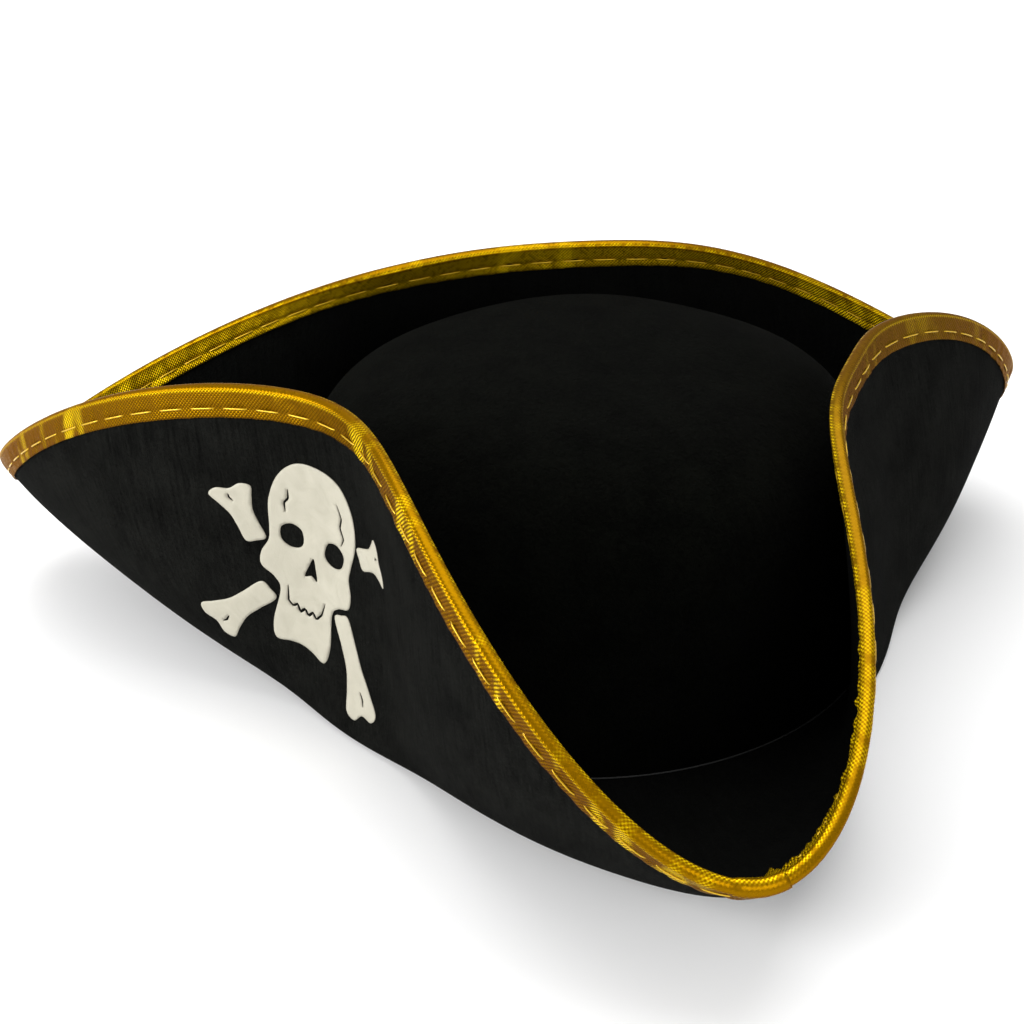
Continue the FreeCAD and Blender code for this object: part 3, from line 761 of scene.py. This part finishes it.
def thin_cut(line, half_width):
    """Outline of a cut that follows a line, widest in the middle and pointed at both ends."""
    line = np.array(line)
    run = np.append(0, np.cumsum(np.linalg.norm(np.diff(line, axis=0), axis=1)))
    at = np.linspace(0, run[-1], 4 * len(line))
    fine = np.stack([np.interp(at, run, line[:, 0]), np.interp(at, run, line[:, 1])], 1)
    ahead = np.gradient(fine, axis=0)
    square = np.stack([-ahead[:, 1], ahead[:, 0]], 1) / np.linalg.norm(ahead, axis=1)[:, None]
    wide = half_width * np.sin(np.pi * np.linspace(0, 1, len(at)))[:, None] ** 0.6
    return np.concatenate([fine + square * wide, (fine - square * wide)[-2:0:-1]])


def inside(points, loop):
    """Whether each point lies in a closed outline: it crosses the outline an odd number of times
    on the way to the left."""
    ahead = np.roll(loop, -1, 0)
    spans = (loop[:, 1] > points[:, 1:]) != (ahead[:, 1] > points[:, 1:])
    rise = np.where(ahead[:, 1] == loop[:, 1], 1, ahead[:, 1] - loop[:, 1])
    crossing = loop[:, 0] + (points[:, 1:] - loop[:, 1]) / rise * (ahead[:, 0] - loop[:, 0])
    return (spans & (crossing < points[:, :1])).sum(1) % 2 == 1


def on_flap(x, z, off):
    """The front flap's skin at given x and z: Newton steps on angle and share until both agree."""
    angle, share = np.degrees(np.arctan2(x, 0.108)), np.clip(0.25 + z / 0.14, 0.3, 0.97)
    small = 1e-3
    for _ in range(14):
        here = felt_point(angle, share, off)
        by_angle = (felt_point(angle + small, share, off) - here) / small
        by_share = (felt_point(angle, share - small, off) - here) / -small
        miss_x, miss_z = x - here[:, 0], z - here[:, 2]
        size = by_angle[:, 0] * by_share[:, 2] - by_angle[:, 2] * by_share[:, 0]
        turn = (miss_x * by_share[:, 2] - miss_z * by_share[:, 0]) / size
        rise = (by_angle[:, 0] * miss_z - by_angle[:, 2] * miss_x) / size
        angle = angle + np.clip(turn, -6, 6)
        share = np.clip(share + np.clip(rise, -0.1, 0.1), 0.05, 0.99)
    return felt_point(angle, share, off)


def film_patch(name, node, outline, holes, seed):
    """One patch of film: triangles inside its outline and outside its holes, each point set on the
    flap's skin, low at the cut edges, with faint wrinkles where the flap bends."""
    loops = [outline, *holes]
    edge = np.concatenate(loops)
    low, high = outline.min(0), outline.max(0)
    spacing = 0.0009 / skull_height
    grid = np.stack(np.meshgrid(np.arange(low[0], high[0], spacing), np.arange(low[1], high[1], spacing)), -1)
    grid = grid.reshape(-1, 2)
    clear = np.sqrt(((grid[:, None] - edge[None]) ** 2).sum(-1)).min(1) > spacing * 0.45
    places = np.concatenate([edge, grid[clear]])
    starts = np.cumsum([0] + [len(loop) for loop in loops])
    borders = [list(range(a, b)) for a, b in zip(starts, starts[1:])]
    found = delaunay_2d_cdt([Vector(p) for p in places.tolist()], [], borders, 1, 1e-7)
    flat, triangles = np.array([tuple(p) for p in found[0]]), np.array(found[2])
    middles = flat[triangles].mean(1)
    triangles = triangles[~np.any([inside(middles, hole) for hole in holes], axis=0)]
    used, triangles = np.unique(triangles, return_inverse=True)
    flat, triangles = flat[used], triangles.reshape(-1, 3)
    to_edge = np.sqrt(((flat[:, None] - edge[None]) ** 2).sum(-1)).min(1) * skull_height
    x = badge_shift + (flat[:, 0] * np.cos(badge_tilt) + flat[:, 1] * np.sin(badge_tilt)) * skull_height
    z = badge_middle + (flat[:, 1] * np.cos(badge_tilt) - flat[:, 0] * np.sin(badge_tilt)) * skull_height
    wrinkle = 0.00009 * wander(x * 1.6, z, 0.014, seed) * np.clip(to_edge / 0.002, 0, 1)
    lift = felt / 2 + film_gap + film * (0.55 + 0.45 * (1 - np.exp(-to_edge / 0.0005))) + wrinkle
    skin = on_flap(x, z, -lift)
    corners = skin[triangles]
    facing = np.cross(corners[:, 1] - corners[:, 0], corners[:, 2] - corners[:, 0])[:, 1].sum()
    mesh = fill_mesh(name, skin, triangles if facing < 0 else triangles[:, ::-1])
    patch = put_on_hat(mesh, white_film, node)
    depth = patch.modifiers.new("film", "SOLIDIFY")
    depth.thickness = film * 0.55
    depth.offset = -1


white_film, tree, shader = new_material("white_film", Roughness=0.42, Specular_IOR_Level=0.4)
place = add_node(tree, "TexCoord").outputs["Object"]
soft_creases = add_node(tree, "TexNoise", {"Vector": place, "Scale": 130.0, "Detail": 3.0, "Distortion": 1.2})
felt_below = add_node(tree, "TexNoise", {"Vector": place, "Scale": 1500.0, "Detail": 2.0})
# Painted shade: the film's colour is darker in the hollows of the soft creases and lighter on their tops.
colour = add_node(tree, "Mix", {"Factor": soft_creases.outputs["Fac"], 6: (0.34, 0.32, 0.25, 1),
                                7: (0.46, 0.435, 0.35, 1)}, data_type="RGBA")
height = add_node(tree, "Math", {0: soft_creases.outputs["Fac"], 1: 3.0, 2: felt_below.outputs["Fac"]},
                  operation="MULTIPLY_ADD")
bump = add_node(tree, "Bump", {"Height": height.outputs[0], "Strength": 0.4, "Distance": 0.0002})
tree.links.new(colour.outputs[2], shader.inputs["Base Color"])
tree.links.new(bump.outputs[0], shader.inputs["Normal"])

skull_outline = smooth_loop(np.concatenate([skull_half, (skull_half * mirror)[-2:0:-1]]))
skull_cuts = [smooth_loop(eye_hole), smooth_loop(eye_hole * mirror), smooth_loop(nose_hole, 6),
              thin_cut(teeth_cut, 0.007)]
skull_cuts += [thin_cut(line, 0.005) for line in crack_cuts]
film_patch("skull_film", "skull_print", skull_outline, skull_cuts, 21)

bone_outline = smooth_loop(np.concatenate([bone_half, (bone_half * np.array([1, -1]))[-2:0:-1]]), 8)
bone_cut = thin_cut([(0.72, 0.01), (0.80, 0.02), (0.87, 0.015)], 0.005)
bones = {
    "upper_left": (-0.265, 0.00, 122, 0.28),
    "upper_right": (0.265, 0.175, 33, 0.25),
    "lower_left": (-0.185, -0.235, 231, 0.44),
    "lower_right": (0.193, -0.18, -61, 0.50),
}
for number, (where, (across, up, heading, length)) in enumerate(bones.items()):
    turn = np.radians(heading)
    place = np.array([[length * np.cos(turn), length * np.sin(turn)], [-np.sin(turn), np.cos(turn)]])
    start = np.array([across, up])
    film_patch("bone_film_" + where, "bone_print_" + where, start + bone_outline @ place,
               [start + bone_cut @ place], 31 + number)


# ---------------------------------------------------------------- floor, light and camera
# A plain pale floor, a broad soft light overhead, a softer one at the front left, and a weak
# one at the right.
floor_mesh = fill_mesh("floor", np.array([(-6, -6, 0), (6, -6, 0), (6, 6, 0), (-6, 6, 0)], float),
                       np.array([[0, 1, 2, 3]]))
floor = bpy.data.objects.new("floor", floor_mesh)
bpy.context.scene.collection.objects.link(floor)
floor_paint, tree, shader = new_material("pale_floor", Roughness=0.8, Specular_IOR_Level=0.1)
shader.inputs["Base Color"].default_value = (0.96, 0.96, 0.96, 1)
floor_mesh.materials.append(floor_paint)


def soft_light(name, place, aim, size, power):
    """Square area light at a place, turned to face a point."""
    lamp = bpy.data.lights.new(name, "AREA")
    lamp.energy, lamp.size = power, size
    holder = bpy.data.objects.new(name, lamp)
    holder.location = place
    holder.rotation_euler = (Vector(aim) - Vector(place)).to_track_quat("-Z", "Y").to_euler()
    bpy.context.scene.collection.objects.link(holder)


soft_light("overhead_light", (-0.2, 0.3, 1.7), (0, 0, 0), 1.6, 24)
soft_light("front_left_light", (-0.7, -1.6, 0.7), (0, 0, 0.05), 0.9, 34)
soft_light("right_light", (1.6, -0.4, 0.8), (0, 0, 0.05), 0.8, 8)
world = bpy.data.worlds.new("studio")
bpy.context.scene.world = world
world.use_nodes = True
world.node_tree.nodes["Background"].inputs["Color"].default_value = (1, 1, 1, 1)
world.node_tree.nodes["Background"].inputs["Strength"].default_value = 0.58
bpy.context.scene.view_settings.view_transform = "Standard"

view_azimuth, view_elevation, view_roll = np.radians([50.95, 27.58, -2.17])
view_distance = 0.5787
look_at = np.array([0, 0, 0.04])
slide_right, slide_up = -0.02424, 0.0011
back = np.array([np.sin(view_azimuth) * np.cos(view_elevation),
                 -np.cos(view_azimuth) * np.cos(view_elevation), np.sin(view_elevation)])
level_right = np.array([np.cos(view_azimuth), np.sin(view_azimuth), 0])
level_up = np.cross(back, level_right)
right = np.cos(view_roll) * level_right + np.sin(view_roll) * level_up
up = np.cos(view_roll) * level_up - np.sin(view_roll) * level_right
camera = bpy.data.objects.new("camera", bpy.data.cameras.new("camera"))
camera.data.sensor_width = 36
camera.data.lens = 60.82
camera.data.clip_start = 0.01
standpoint = look_at + slide_right * right + slide_up * up + view_distance * back
turned = Matrix((right, up, back)).transposed().to_4x4()
camera.matrix_world = Matrix.Translation(standpoint) @ turned
bpy.context.scene.collection.objects.link(camera)
bpy.context.scene.camera = camera
